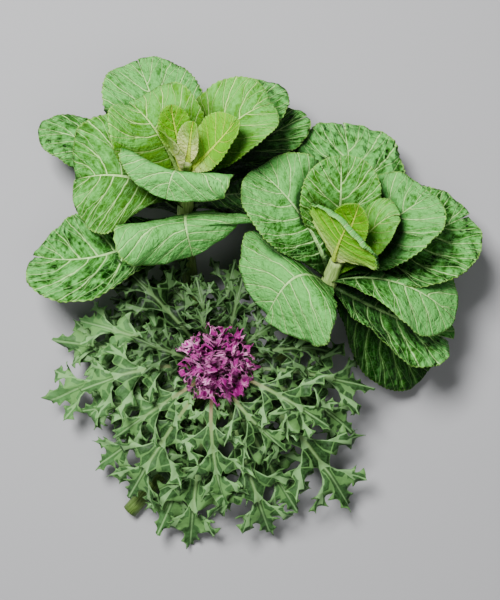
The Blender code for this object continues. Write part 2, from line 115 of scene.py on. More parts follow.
# A leaf grows at a height along the crown, in mm, and at an azimuth round it, in degrees from its back over
# its right. Its midrib passes middle and ends at tip, in mm like its width. cup and wave are how far its
# margins rise and ripple, as shares of the half width, and roll turns its tip, in degrees. The last two
# numbers, where given, are blunt and slim.
LEFT_LEAVES = [
    Leaf(0, 300, (-104, 118, 26), (-124, 156, -14), 70, 0, 0, 0.02, "outer"),
    Leaf(0, 20, (-34, 136, 26), (-18, 184, -14), 80, 0, 0, 0.02, "outer"),
    Leaf(2, 258, (-132, 43, 78), (-206, 42, 50), 92, 0.1, 15, 0.06, "crinkled"),
    Leaf(4, 156, (-58, 67, 122), (-52, 40, 102), 132, -0.02, 0, 0.01, "frosted", 1.5, 2.6),
    Leaf(6, 96, (-26, 98, 68), (8, 99, 50), 80, 0.1, 0, 0.06, "crinkled"),
    Leaf(8, 292, (-140, 142, 66), (-201, 162, 52), 58, -0.15, 20, 0.06, "crinkled"),
    Leaf(12, 282, (-110, 112, 104), (-163, 111, 84), 112, 0.15, 42, 0.05, "green", 2.3, 3.2),
    Leaf(16, 60, (0, 142, 72), (54, 174, 54), 56, 0.05, -15, 0.06, "outer"),
    Leaf(20, 348, (-84, 168, 88), (-106, 226, 62), 92, 0.05, 0, 0.05, "waxy"),
    Leaf(22, 34, (-14, 160, 86), (25, 203, 66), 70, 0.08, 0, 0.05, "crinkled"),
    Leaf(27, 346, (-83, 150, 118), (-110, 179, 110), 88, 0.3, 0, 0.04, "inner"),
    Leaf(28, 192, (-66, 115, 139), (-75, 90, 130), 108, 0.07, 0, 0.01, "frosted", 1.5, 2.6),
    Leaf(28, 70, (-22, 153, 116), (20, 179, 108), 78, 0.3, -20, 0.04, "inner"),
]
RIGHT_LEAVES = [
    Leaf(-2, 350, (96, 98, 26), (98, 142, -14), 80, 0, 0, 0.02, "outer"),
    Leaf(-2, 60, (138, 48, 28), (176, 56, -14), 76, 0, 0, 0.02, "outer"),
    # painted as in shade: this leaf lies beneath the next one
    Leaf(-4, 125, (124, -30, 46), (174, -70, 12), 84, 0, -15, 0.04, "deep"),
    Leaf(0, 130, (126, -12, 80), (190, -38, 58), 84, 0.1, 0, 0.1, "crinkled"),
    Leaf(2, 218, (40, 20, 126), (15, -17, 95), 134, -0.05, 0, 0.04, "frosted", 1.7, 2.0),
    Leaf(4, 335, (54, 89, 72), (38, 150, 44), 76, 0.08, 0, 0.05, "crinkled"),
    Leaf(6, 352, (92, 98, 72), (89, 170, 38), 106, 0.08, 0, 0.05, "savoyed"),
    Leaf(5, 48, (140, 50, 79), (207, 80, 58), 106, 0.1, -12, 0.05, "crinkled"),
    Leaf(8, 128, (137, 15, 103), (190, -18, 84), 82, -0.05, 0, 0.03, "frosted", 2.0, 1.2),
    Leaf(8, 320, (48, 75, 104), (6, 121, 96), 94, 0.18, 10, 0.04, "waxy"),
    Leaf(8, 40, (122, 66, 100), (168, 97, 92), 92, 0.15, 0, 0.04, "waxy"),
    Leaf(9, 352, (82, 83, 103), (82, 131, 112), 74, 0.12, 0, 0.03, "green"),
    Leaf(11, 55, (113, 66, 114), (135, 76, 120), 54, 0.14, 0, 0.03, "inner"),
]
LEFT_HEART = [
    Leaf(48, 58, (-28, 141, 138), (-11, 160, 150), 46, 0.35, 0, 0.02, "young"),
    Leaf(50, 250, (-70, 136, 134), (-81, 150, 149), 34, 0.4, 0, 0.02, "cream"),
    Leaf(53, 350, (-67, 155, 138), (-69, 172, 151), 30, 0.2, 0, 0.02, "young"),
    Leaf(55, 30, (-53, 143, 139), (-50, 157, 151), 22, 0.4, 0, 0.02, "cream"),
]
RIGHT_HEART = [
    Leaf(34, 210, (80, 50, 124), (87, 68, 151), 88, 0.12, 0, 0.02, "young"),
    Leaf(36, 20, (91, 67, 130), (96, 84, 150), 36, 0.35, 0, 0.02, "young"),
]
# Feathered leaves, as height, azimuth, middle, tip and width
FEATHER_LEAVES = [
    (2, 262, (-104, -66, 56), (-196, -98, 26), 70),
    (1, 285, (-110, -49, 50), (-187, -41, 20), 66),
    (2, 205, (-50, -130, 48), (-88, -225, 20), 66),
    (4, 182, (-47, -143, 56), (-59, -245, 10), 74),
    (7, 165, (-8, -140, 66), (21, -232, 28), 78),
    (1, 150, (6, -135, 52), (47, -206, 30), 66),
    (7, 138, (34, -113, 70), (99, -202, 30), 76),
    (4, 115, (46, -90, 60), (98, -128, 36), 64),
    (9, 97, (38, -66, 80), (112, -84, 50), 72),
    (9, 76, (26, -46, 83), (77, -47, 72), 54),
    (7, 44, (6, -34, 76), (38, -12, 72), 50),
    (5, 5, (-24, -9, 62), (-14, 38, 50), 60),
    (6, 332, (-56, -12, 66), (-84, 36, 56), 56),
    (12, 308, (-75, -11, 88), (-122, 35, 82), 62),
    (4, 300, (-80, -19, 62), (-134, 2, 40), 56),
    (8, 280, (-96, -38, 74), (-165, -19, 46), 64),
    (9, 240, (-93, -90, 68), (-163, -107, 38), 62),
    (5, 226, (-86, -114, 52), (-150, -162, 26), 62),
    (14, 262, (-93, -63, 92), (-153, -85, 62), 70),
    (13, 226, (-80, -96, 82), (-124, -127, 58), 60),
    (10, 210, (-67, -110, 80), (-119, -193, 42), 72),
    (14, 184, (-36, -120, 86), (-24, -196, 52), 68),
    (16, 155, (-6, -102, 92), (32, -138, 74), 68),
    (15, 122, (20, -84, 92), (72, -118, 72), 64),
    (18, 290, (-72, -48, 98), (-108, -34, 94), 44),
    (20, 345, (-42, -24, 92), (-50, -6, 92), 40),
    (12, 352, (-40, -22, 82), (-50, 22, 86), 46),
    (11, 20, (-18, -24, 80), (-6, 26, 82), 46),
    (19, 50, (-2, -38, 94), (20, -24, 90), 40),
]
FEATHER_WAVE = 0.06
FEATHERS_A_PIECE = 3  # how many feathered leaves make one piece here
FRILLS_A_PIECE = 4  # and how many ruffled ones
SHADED_FEATHERS = (*range(9, 15), *range(24, 29))  # those beneath the smooth heads

# A feathered head's heart: rings of small ruffled leaves, as how many, their height on the core, how far
# their tips stand out and up, their width and where the first one is.
FRILLS = [(6, 0, 34, 14, 27, 10), (4, 5, 20, 26, 22, 40), (2, 10, 7, 30, 15, 75)]
FRILL_CORE = 20  # the core of that heart, in mm
FRILL_CORE_RADIUS = 7.8 * MM
FRILL_FOOT = 5.5  # how high its lowest ring stands on that core, in mm
FRILL_CURL = 3.2  # how much more a ruffled leaf waves

# Where the stems run below their crowns, in mm, the last point at the cut.
LEFT_STEM = [(-59, 26, 25), (-50, -20, 7.7), (-14, -88, 7.5), (12, -176, 7.5)]
RIGHT_STEM = [(58, -34, 34), (30, -52, 27), (-13, -87, 25.5), (-65, -147, 16), (-118, -207, 7.3)]
FEATHER_STEM = [(-31, -70, 30), (-36, -80, 14), (-56, -103, 8.0), (-104, -157, 7.5)]
STALK_SIDES = 30
CAP_RINGS = (0.92, 0.66, 0.33)  # rings on a cut end, as shares of the stalk's radius
CAP_DEPTH = 0.4 * MM  # how far the inner ones lie below the edge
ROUTE_STEPS = 14  # steps of a stem's curve from point to point

# Where the lobes of a feathered leaf stand on its midrib, how far they turn from it, their length and
# their breadth, as shares of the leaf's length.
LOBES = [(0.3, 82, 0.14, 0.08), (0.43, 70, 0.28, 0.11), (0.58, 56, 0.34, 0.12), (0.74, 42, 0.27, 0.11)]
SINUS = 0.03  # half width of the blade between two lobes
STALK = 0.016  # half width of the stalk
VEIN_STEPS = 8  # steps of the vein in a lobe
MESH_STEP = 0.026  # between the points of a feathered leaf, as a share of its length
# A lobe's teeth, and the hollows between them, as shares of its length and of its breadth
TEETH = [(0.46, -0.66), (0.78, -0.52), (1.04, -0.04), (0.88, 0.46), (0.62, 0.7)]
HOLLOWS = [(0.6, -0.16), (0.86, -0.14), (0.9, 0.12), (0.68, 0.18)]
CURVE = 6  # steps of the curve round a hollow
TOOTH_END = 0.08  # share of that curve left out at either end: the tooth is blunt
# The teeth at the end of such a leaf, and the hollows before them, as shares of its length
END_TEETH = [(0.875, 0.085), (0.945, 0.05), (1.0, 0.0)]
END_HOLLOWS = [(0.835, 0.03), (0.9, 0.034), (0.965, 0.018)]
# The lobes of a small ruffled leaf of the feathered heart, as those above
FRILL_LOBES = [(0.26, 85, 0.26, 0.16), (0.42, 68, 0.36, 0.17), (0.6, 50, 0.36, 0.17), (0.78, 34, 0.27, 0.15)]
FRILL_SINUS = 0.075


def even_rays(count):
    """Directions spread evenly over a ball."""
    number = np.arange(count) + 0.5
    high = 1 - 2 * number / count
    turn = number * math.pi * (1 + math.sqrt(5))
    level = np.sqrt(1 - high**2)
    return np.column_stack([np.cos(turn) * level, np.sin(turn) * level, high])


RAYS = even_rays(10)  # where a point looks for other leaves round it
SHADE_REACH = 55 * MM  # how near they are when they count
SHADE_STEP = 7  # only every so many points look
SHADE_ROUNDS = 7  # how often they lend their neighbours what they see
SHADE_OWN = 6  # how much more a point's own value counts


class Axes:
    """A head's own directions: its axis, its back and its right side."""

    def __init__(self, head):
        tilt, heading = math.radians(head.tilt), math.radians(head.heading)
        level = np.array([math.cos(heading), math.sin(heading), 0.0])
        up = np.array([0.0, 0.0, 1.0])
        self.foot = np.array(head.foot) * MM
        self.axis = level * math.sin(tilt) + up * math.cos(tilt)
        self.back = level * math.cos(tilt) - up * math.sin(tilt)
        self.right = np.cross(self.back, self.axis)

    def outward(self, azimuth):
        turn = math.radians(azimuth)
        return self.back * math.cos(turn) + self.right * math.sin(turn)


def unit(vectors):
    return vectors / np.linalg.norm(vectors, axis=-1, keepdims=True)


def run_along(points):
    """How far each point lies from the first, along the line through them."""
    return np.concatenate([[0], np.cumsum(np.linalg.norm(np.diff(points, axis=0), axis=1))])


def bend(t, start, pull, end):
    """Points of a curve from start to end that is drawn towards pull."""
    return (1 - t) ** 2 * start + 2 * t * (1 - t) * pull + t**2 * end


def put(name, data):
    """An object in the scene that shows a mesh, a curve, a light or a camera."""
    made = bpy.data.objects.new(name, data)
    bpy.context.scene.collection.objects.link(made)
    return made


class Spine:
    """A leaf's midrib: its points and its directions, by share of its length from foot to tip."""

    def __init__(self, axes, leaf):
        outward = axes.outward(leaf.azimuth)
        foot = axes.foot + axes.axis * leaf.height * MM + outward * (CROWN_RADIUS - ROOT_DEPTH)
        middle, tip = np.array(leaf.middle) * MM, np.array(leaf.tip) * MM
        pull = 2 * middle - (foot + tip) / 2
        t = np.linspace(0, 1, SPINE_STEPS + 1)[:, None]
        self.points = bend(t, foot, pull, tip)
        along = unit((1 - t) * (pull - foot) + t * (tip - pull))
        run = run_along(self.points)
        self.length = run[-1]
        self.share = run / run[-1]
        side = np.cross(axes.axis, outward)
        side = unit(side - along * (along @ side)[:, None])
        face = np.cross(along, side)
        turned = np.clip(self.share / 0.5, 0, 1)
        roll = np.radians(leaf.roll) * (turned**2 * (3 - 2 * turned))[:, None]
        self.side = np.cos(roll) * side - np.sin(roll) * face
        self.face = np.cos(roll) * face + np.sin(roll) * side

    def at(self, share, what):
        return np.stack([np.interp(share, self.share, what[:, i]) for i in range(3)], axis=-1)

    def place(self, along, across, lift):
        """Points of the blade: along is a share of the midrib, across and lift are in metres."""
        level = self.at(along, self.points) + self.at(along, self.side) * across[:, None]
        return level + self.at(along, self.face) * lift[:, None]


class Sheet:
    """The upper face of a blade: points, faces, thicknesses below it, and what its finish reads.

    veins holds each point's share of the leaf's length, how far out it is from the midrib, and its lane
    between side veins. place holds metres along and across the flat leaf. look is one of LOOKS.
    """

    def __init__(self, points, faces, thick, veins, place, look):
        points[:, 2] = np.maximum(points[:, 2], thick)
        self.points, self.faces = points, faces
        self.veins, self.place = veins, place
        self.look = np.broadcast_to(look, (len(points), 3))
        self.normals, level = point_normals(points, faces)
        self.thick = thick * np.clip(LEAST_THICK + 1.5 * (level - 0.2), LEAST_THICK, 1.0)

    def closed_in(self, crowd, side):
        """How much of what each point looks at, above or below the blade, is other leaves: 0 to 1."""
        shut = np.zeros(len(self.points))
        known = np.arange(len(self.points)) % SHADE_STEP == 0
        for number in np.flatnonzero(known):
            normal = self.normals[number] * side
            start = Vector(self.points[number] + normal * 1.5 * MM)
            for ray in RAYS:
                hit = crowd.ray_cast(start, Vector(ray + normal * 1.05).normalized(), SHADE_REACH)
                if hit[3] is not None:
                    shut[number] += (1 - (hit[3] / SHADE_REACH) ** 2) / len(RAYS)
        weight = known.astype(float)
        edges = np.array(edges_of(self.faces))
        for _ in range(SHADE_ROUNDS):
            total, share = SHADE_OWN * shut * weight, SHADE_OWN * weight
            for a, b in ((0, 1), (1, 0)):
                np.add.at(total, edges[:, a], (shut * weight)[edges[:, b]])
                np.add.at(share, edges[:, a], weight[edges[:, b]])
            shut = np.where(share > 0, total / np.maximum(share, 1e-9), 0.0)
            weight = np.minimum(share, 1.0)
        return shut


def point_normals(points, faces):
    """A sheet's directions upwards at its points, and how level it is there: 1, or less at a crease."""
    mesh = bpy.data.meshes.new("sheet")
    mesh.from_pydata(points.tolist(), [], faces)
    normals = np.empty(len(points) * 3, np.float32)
    mesh.vertex_normals.foreach_get("vector", normals)
    normals = normals.reshape(-1, 3).astype(float)
    level = np.ones(len(points))
    for face, polygon in zip(faces, mesh.polygons):
        corners = list(face)
        level[corners] = np.minimum(level[corners], normals[corners] @ np.array(polygon.normal))
    bpy.data.meshes.remove(mesh)
    return normals, level


def margin_half_width(along, leaf):
    """Half width of a smooth leaf, as a share of its largest, at shares of its length."""
    rise = NARROW + (1 - NARROW) * np.sin(np.clip(along / WIDEST, 0, 1) * math.pi / 2) ** leaf.slim
    past = np.clip(along - WIDEST, 0, 1) / (1 - WIDEST)
    fall = np.clip(1 - past**leaf.blunt, 0, 1) ** (1 / leaf.blunt)
    return np.where(along < WIDEST, rise, fall)


def fan_of_veins(rows, leaf, fold):
    """Along and across shares of a smooth leaf's points, in rows that follow its curved side veins.

    fold is how much of the end's margin is turned outwards. The last grid says where it is.
    """
    fine = np.linspace(0, 1, 600)
    width = margin_half_width(fine, leaf) * 0.5
    run = np.concatenate([[0], np.cumsum(np.hypot(np.diff(fine), np.diff(width)))])
    share = np.linspace(0, 1, rows + 1)
    margin_along = np.interp(share * run[-1], run, fine)
    margin_across = margin_half_width(margin_along, leaf)
    margin_across[-1] = 0.0
    rib_along = 0.9 * share**1.15
    out = np.linspace(0, 1, COLUMNS + 1) ** 1.5
    crease = 1 - fold * np.clip((share[:, None] - 0.42) / 0.45, 0, 1) ** 0.7
    turned = np.clip(out - crease, 0, 1)
    reach = np.minimum(out, crease) - 0.25 * turned
    along = rib_along[:, None] + (margin_along - rib_along)[:, None] * reach**1.5
    return along, margin_across[:, None] * reach, share[:, None], out[None, :], turned


def grid_faces(rows):
    """Quads of a leaf's two halves, whose points are numbered row by row, the left half first."""
    wide = 2 * COLUMNS + 1
    corners = [row * wide + column for row in range(rows) for column in range(2 * COLUMNS)]
    return [(a, a + wide, a + wide + 1, a + 1) for a in corners]


def smooth_sheet(axes, leaf, seed, rows=ROWS, lanes=7, fringe=0.0, fold=0.0):
    """A broad leaf, swollen between its side veins and toothed at its margin."""
    draw = np.random.default_rng(seed)
    spine = Spine(axes, leaf)
    along, across, share, out, turned = fan_of_veins(rows, leaf, fold)
    half = leaf.width * MM / 2
    grown = min(1, leaf.width / LARGE_LEAF)
    crinkle = LOOKS[leaf.look][2]
    phase = draw.uniform(0, TURN, 8)
    halves = []
    for side in (-1, 1):
        ripple = np.sin(TURN * (2.3 * share + 0.3 * side) + leaf.azimuth)
        lift = half * (leaf.cup * across * out + leaf.wave * ripple * out**2)
        ruffle = np.sin(TURN * 5.3 * share + phase[0] + side)
        ruffle = ruffle + 0.6 * np.sin(TURN * 9.7 * share + phase[1] - 2 * side)
        inside = np.sin(math.pi * np.clip(share, 0, 1)) ** 0.5
        lift = lift + half * (0.012 + 0.022 * crinkle + fringe) * ruffle * out**3 * inside
        quilt = np.abs(np.sin(math.pi * (lanes * share + (0.5 if side > 0 else 0.0)))) ** 0.8
        belly = np.clip(4 * out * (1 - out), 0, 1) ** 0.7 * inside * min(1, half / 0.04)
        lift = lift + PUFF * crinkle * (quilt - 0.4) * belly
        # Waves of several lengths, in radians a metre
        x = along * spine.length
        y = side * across * half
        swell = np.sin(x * 90 + y * 60 + phase[2]) + np.sin(x * 60 - y * 110 + phase[3])
        swell = swell + 0.6 * np.sin(x * 210 + y * 170 + phase[4]) * np.sin(y * 230 - x * 120 + phase[5])
        lift = lift + SWELL * (0.15 + 0.5 * crinkle) * swell * np.clip(2 * out, 0, 1) * inside
        lift = lift - half * turned
        rim = np.where(np.arange(rows + 1) % 2 == 0, 1.0, -0.4) * draw.uniform(0.4, 1.0, rows + 1)
        rim = rim[:, None] * out**8 * inside
        tooth = TOOTH / half * grown
        wide = across * (1 + fringe * 4 * rim) + rim * tooth * (share < 0.97)
        points = spine.place(along.ravel(), (side * half * wide).ravel(), lift.ravel())
        shape = points.reshape(rows + 1, COLUMNS + 1, 3)
        rib_width = (2.6 * MM * (1 - share) + 0.6 * MM) * grown
        round_rib = np.sqrt(np.clip(1 - (across * half / rib_width) ** 2, 0, 1))
        thick = BLADE + (RIB - BLADE) * grown * (1 - share) ** 1.5 * round_rib
        veins = np.stack(np.broadcast_arrays(share, side * out, lanes * share), -1)
        place = np.stack([x + seed * PATTERN_STEP, y], -1)
        look = np.where(turned[:, :, None] > 0, LOOKS["turned"], LOOKS[leaf.look])
        halves.append([shape, thick, veins, place, look])
    merged = [np.concatenate([left[:, :0:-1], right], axis=1) for left, right in zip(*halves)]
    points, thick, veins, place, look = [m.reshape(-1, *m.shape[2:]) for m in merged]
    return Sheet(points, grid_faces(rows), thick, veins, place, look)


def lobe_frames(lobes, draw, stretch):
    """Where each lobe of half a leaf stands, its direction, its length and its breadth."""
    frames = []
    for stand, turn, size, breadth in lobes:
        angle = math.radians(turn + draw.uniform(-6, 6))
        reach = size * stretch * draw.uniform(0.85, 1.15)
        frames.append((stand, np.array((math.cos(angle), math.sin(angle))), reach, breadth))
    return frames


def lobed_half(frames, sinus, own):
    """Half of a lobed leaf's outline as shares of its length: short teeth with round hollows between."""
    teeth, hollows = [np.array((frames[0][0] - 0.07, STALK))], []
    for number, (stand, forward, reach, breadth) in enumerate(frames):
        foot, beside = np.array((stand, 0.0)), np.array((-forward[1], forward[0]))
        spots = []
        for along, aside in TEETH + HOLLOWS:
            along, aside = along * own.uniform(0.94, 1.06), aside * own.uniform(0.75, 1.25)
            spots.append(foot + forward * along * reach + beside * aside * breadth)
        teeth += spots[: len(TEETH)]
        root = stand - (0.035 if number else 0.03)
        hollows.append(np.array((root, sinus * own.uniform(0.8, 1.3))))
        hollows += spots[len(TEETH) :]
    teeth += list(np.array(END_TEETH))
    hollows += list(np.array(END_HOLLOWS))
    half = [np.array((0.0, STALK)), teeth[0]]
    t = np.linspace(TOOTH_END, 1 - TOOTH_END, CURVE + 1)[:, None]
    for start, hollow, end in zip(teeth, hollows, teeth[1:]):
        elbow = 2 * hollow - (start + end) / 2
        half += list(bend(t, start, elbow, end))
        half.append(0.7 * end + 0.3 * half[-1])
    half = [(x, max(y, STALK)) for x, y in half[:-1]]
    return half + [(1.0, 0.0)]


def segments_gap(points, starts, ends):
    """Distance of each point to the nearest of some segments."""
    run = ends - starts
    t = np.einsum("pij,ij->pi", points[:, None] - starts[None], run) / (np.sum(run**2, axis=1) + 1e-12)
    nearest = starts[None] + np.clip(t, 0, 1)[..., None] * run[None]
    return np.linalg.norm(points[:, None] - nearest, axis=2).min(axis=1)


def inside_outline(points, outline):
    """Which points lie inside a closed outline."""
    inside = np.zeros(len(points), bool)
    for (x1, y1), (x2, y2) in zip(outline, np.roll(outline, -1, axis=0)):
        crosses = (y1 > points[:, 1]) != (y2 > points[:, 1])
        at = x1 + (points[:, 1] - y1) * (x2 - x1) / (y2 - y1 + 1e-12)
        inside ^= crosses & (points[:, 0] < at)
    return inside


def lobe_twist(places, twists):
    """How far each lobe's sides rise and sink: every lobe is turned a little round its own vein."""
    fit, rise = np.full(len(places), 9.0), np.zeros(len(places))
    for foot, forward, slope in twists:
        run = places - foot
        ahead, aside = run @ forward, run @ np.array((-forward[1], forward[0]))
        far = np.where(ahead > 0, np.abs(aside) / np.maximum(ahead, 1e-4), 9.0)
        nearer = far < fit
        rise = np.where(nearer, aside * slope * np.clip(ahead / 0.1, 0, 1), rise)
        fit = np.where(nearer, far, fit)
    return rise


def filled(outline, lines, starts, ends):
    """Points and faces of a flat mesh inside an outline, whose edges follow the veins."""
    x, y = np.meshgrid(np.arange(0.02, 1.0, MESH_STEP), np.arange(-0.5, 0.5, MESH_STEP))
    x = x + np.where(np.arange(x.shape[0]) % 2 == 0, 0.0, MESH_STEP / 2)[:, None]
    lattice = np.stack([x.ravel(), y.ravel()], -1)
    lattice = lattice[inside_outline(lattice, outline)]
    margin = (outline, np.roll(outline, -1, axis=0))
    lattice = lattice[segments_gap(lattice, *margin) > MESH_STEP * 0.45]
    lattice = lattice[segments_gap(lattice, starts, ends) > MESH_STEP * 0.35]
    flat = [Vector(p) for p in (*outline, *lattice)]
    count = len(outline)
    edges = [(i, (i + 1) % count) for i in range(count)]
    for line in lines:
        first = len(flat)
        flat += [Vector(p) for p in line]
        edges += [(first + i, first + i + 1) for i in range(len(line) - 1)]
    placed, _, faces, *_ = delaunay_2d_cdt(flat, edges, [list(range(count))], 1, 1e-5)
    used = sorted({corner for face in faces for corner in face})
    renumber = {old: new for new, old in enumerate(used)}
    faces = [tuple(renumber[corner] for corner in face) for face in faces]
    return np.array([tuple(p) for p in placed])[used], faces


def feather_sheet(axes, leaf, draw, seed, lobes=LOBES, sinus=SINUS, curl=1.0, look=None):
    """A deeply lobed leaf, toothed, with a vein into every lobe."""
    spine = Spine(axes, leaf)
    own = np.random.default_rng(100 + seed)
    stretch = leaf.width * MM / spine.length / 0.5
    outline, lines, twists = [], [[(s, 0.0) for s in np.linspace(0.0, 0.985, 34)]], []
    for side in (1, -1):
        frames = lobe_frames(lobes, draw, stretch)
        fine = [(x, side * y) for x, y in lobed_half(frames, sinus, own)]
        outline += fine if side > 0 else fine[-2::-1]
        for stand, forward, reach, _ in frames:
            turned = np.array((forward[0], side * forward[1]))
            foot = np.array((stand, 0.0))
            root = np.array((stand - 0.08, 0.0))
            end, elbow = foot + turned * reach * 0.95, foot + turned * reach * 0.25
            vein = bend(np.linspace(0, 1, VEIN_STEPS + 1)[:, None], root, elbow, end)
            lines.append([tuple(p) for p in vein])
            twists.append((foot, turned, own.uniform(-0.55, 0.55) * curl))
            for at, lean in ((4, 0.5), (5, -0.45)):
                run = vein[-1] - vein[at]
                branch = vein[at] + 0.6 * run + lean * side * 0.5 * np.array((-run[1], run[0]))
                lines.append([tuple(vein[at]), tuple((vein[at] + branch) / 2), tuple(branch)])
    outline = np.array(outline)
    starts = np.array([p for line in lines for p in line[:-1]])
    ends = np.array([p for line in lines for p in line[1:]])
    places, faces = filled(outline, lines, starts, ends)
    along, across = np.clip(places[:, 0], 0, 1), places[:, 1]
    out = np.abs(across) / 0.36
    ripple = np.sin(along * 21 + np.sign(across) * 1.3 + leaf.azimuth)
    phase = own.uniform(0, TURN, 4)
    wave = np.sin(along * 47 + across * 30 + phase[0]) + np.sin(across * 60 - along * 25 + phase[1])
    crimp = np.sin(along * 95 + phase[2]) * np.sin(across * 110 + phase[3])
    lift = leaf.wave * ripple * out + curl * (0.02 * wave * out + 0.009 * crimp * np.clip(out * 3, 0, 1))
    lift = (lift + lobe_twist(places, twists)) * spine.length
    points = spine.place(along, across * spine.length, lift)
    vein = segments_gap(places, starts, ends) * spine.length
    edge = segments_gap(places, outline, np.roll(outline, -1, axis=0)) * spine.length
    rib = (FEATHER_RIB - BLADE) * (1 - along) * np.clip(1 - np.abs(across) / 0.012, 0, 1)
    veins = np.stack([along, np.sign(across) * np.clip(vein / VEIN_REACH, 0, 1), edge / VEIN_REACH], -1)
    place = np.stack([along * spine.length + seed * PATTERN_STEP, across * spine.length], -1)
    if look is None:
        # painted light: leaves on the left, the side the key light comes from, are painted lighter
        light = 0.3 if 220 < leaf.azimuth < 305 else 0.0
        look = (own.uniform(0.1, 0.8) + light, max(0.0, (leaf.height - 8) / 12), 0.5)
    return Sheet(points, faces, BLADE + rib, veins, place, look)


def edges_of(faces):
    """Each face's edges, in the face's own direction."""
    return [(face[i - 1], face[i]) for face in faces for i in range(len(face))]


def rim_of(faces):
    """The directed edges that only one face has."""
    edges = set(edges_of(faces))
    return sorted((a, b) for a, b in edges if (b, a) not in edges)


def add_piece(points, faces, painted, name, node, slot, finish):
    """Adds a mesh that stands for a node, painted with the vectors that its finish reads by point."""
    mesh = bpy.data.meshes.new(name)
    mesh.from_pydata((points - CENTRE).tolist(), [], faces)
    for attribute, values in painted.items():
        layer = mesh.attributes.new(attribute, "FLOAT_VECTOR", "POINT")
        layer.data.foreach_set("vector", np.ascontiguousarray(values, dtype=np.float32).ravel())
    mesh.materials.append(finish)
    mesh.shade_smooth()
    piece = put(name, mesh)
    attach(piece, "root")
    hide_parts(node)


def blades(sheets, crowd, *piece):
    """Solid blades: each sheet is an upper face, and the lower face lies its thickness below."""
    points, faces, first = [], [], 0
    painted = {"veins": [], "place": [], "look": [], "shade": []}
    for sheet in sheets:
        lower = sheet.points - sheet.normals * sheet.thick[:, None]
        lower[:, 2] = np.maximum(lower[:, 2], 0.0)
        count = len(sheet.points)
        points += [sheet.points, lower]
        faces += [tuple(first + i for i in face) for face in sheet.faces]
        faces += [tuple(first + count + i for i in reversed(face)) for face in sheet.faces]
        rim = [(first + a, first + b) for a, b in rim_of(sheet.faces)]
        faces += [(b, a, count + a, count + b) for a, b in rim]
        for under in (0.0, 1.0):
            shut = sheet.closed_in(crowd, 1 - 2 * under)
            painted["veins"].append(sheet.veins)
            painted["place"].append(np.column_stack([sheet.place, np.full(count, under)]))
            painted["look"].append(sheet.look)
            painted["shade"].append(np.column_stack([shut, shut, shut]))
        first += 2 * count
    painted = {name: np.concatenate(values) for name, values in painted.items()}
    add_piece(np.concatenate(points), faces, painted, *piece)


def tube(route, radii, *piece, ridges=0.03, seed=0):
    """A solid round stalk along a route, slightly ridged, with slightly hollow ends."""
    draw = np.random.default_rng(seed)
    route, radii = np.array(route, float), np.array(radii, float)
    along = unit(np.gradient(route, axis=0))
    side = unit(np.cross(along[0], (0.3, 0.2, 0.9)))
    run = run_along(route)
    turn = np.linspace(0, TURN, STALK_SIDES, endpoint=False)
    ribs = ridges * (0.5 * np.sin(5 * turn + 1) + 0.5 * np.sin(8 * turn))
    ribs = ribs + draw.normal(0, ridges * 0.2, STALK_SIDES)
    spokes = []
    for radius, forward in zip(radii, along):
        side = unit(side - forward * (side @ forward))
        spoke = np.cos(turn)[:, None] * side + np.sin(turn)[:, None] * np.cross(forward, side)
        spokes.append(spoke * (radius * (1 + ribs))[:, None])
    last = len(route) - 1
    rings = [(0, share) for share in reversed(CAP_RINGS)] + [(row, 1.0) for row in range(last + 1)]
    rings += [(last, share) for share in CAP_RINGS]
    points, veins = [], []
    for row, share in rings:
        dish = along[row] * (-CAP_DEPTH if row else CAP_DEPTH) * (share < CAP_RINGS[0])
        points.append(route[row] + spokes[row] * share + dish)
        veins += [(run[row], angle, share) for angle in turn]
    points = np.concatenate(points)
    faces = []
    for first in range(0, len(points) - STALK_SIDES, STALK_SIDES):
        for column in range(STALK_SIDES):
            a, b = first + column, first + (column + 1) % STALK_SIDES
            faces.append((a, b, b + STALK_SIDES, a + STALK_SIDES))
    faces += [tuple(range(STALK_SIDES))[::-1], tuple(range(len(points) - STALK_SIDES, len(points)))]
    points[:, 2] = np.maximum(points[:, 2], 0.0)
    add_piece(points, faces, {"veins": veins}, *piece)


def smooth_route(points):
    """A quadratic curve that starts and ends at the first and last points and follows the others."""
    curve = bpy.data.curves.new("route", "CURVE")
    curve.dimensions = "3D"
    curve.resolution_u = ROUTE_STEPS
    spline = curve.splines.new("NURBS")
    spline.points.add(len(points) - 1)
    for number, place in enumerate(points):
        spline.points[number].co = (*place, 1.0)
    spline.order_u = 3
    spline.use_endpoint_u = True
    guide = put("route", curve)
    mesh = guide.to_mesh()
    route = np.array([tuple(v.co) for v in mesh.vertices])
    guide.to_mesh_clear()
    bpy.data.objects.remove(guide)
    bpy.data.curves.remove(curve)
    return route


def stem(name, head, points, finish, seed):
    """A cut stem, from under its crown to its cut end."""
    axes = Axes(head)
    start = axes.foot - axes.axis * (CROWN_FOOT + GAP)
    neck = start - axes.axis * 8 * MM
    route = smooth_route([start, neck] + [np.array(p) * MM for p in points])
    radii = np.interp(np.linspace(0, 1, len(route)), (0, 0.15, 1), (1.06, 1.0, 0.99)) * CUT_RADIUS
    tube(route, radii, name, name, "stem", finish, seed=seed)


def axis_stalk(head, low, high, radii, *piece):
    """A piece of stem on a head's axis, from low to high in mm above its foot."""
    axes = Axes(head)
    heights = np.linspace(low, high, 10) * MM
    route = axes.foot + axes.axis * heights[:, None]
    tube(route, np.linspace(*radii, 10), *piece, ridges=0.05, seed=5)


def crown_stalk(head, *piece):
    """The top of a stem, inside its crown of leaves."""
    axis_stalk(head, -CROWN_FOOT / MM, head.length, (CROWN_RADIUS, CROWN_TOP_RADIUS), *piece)


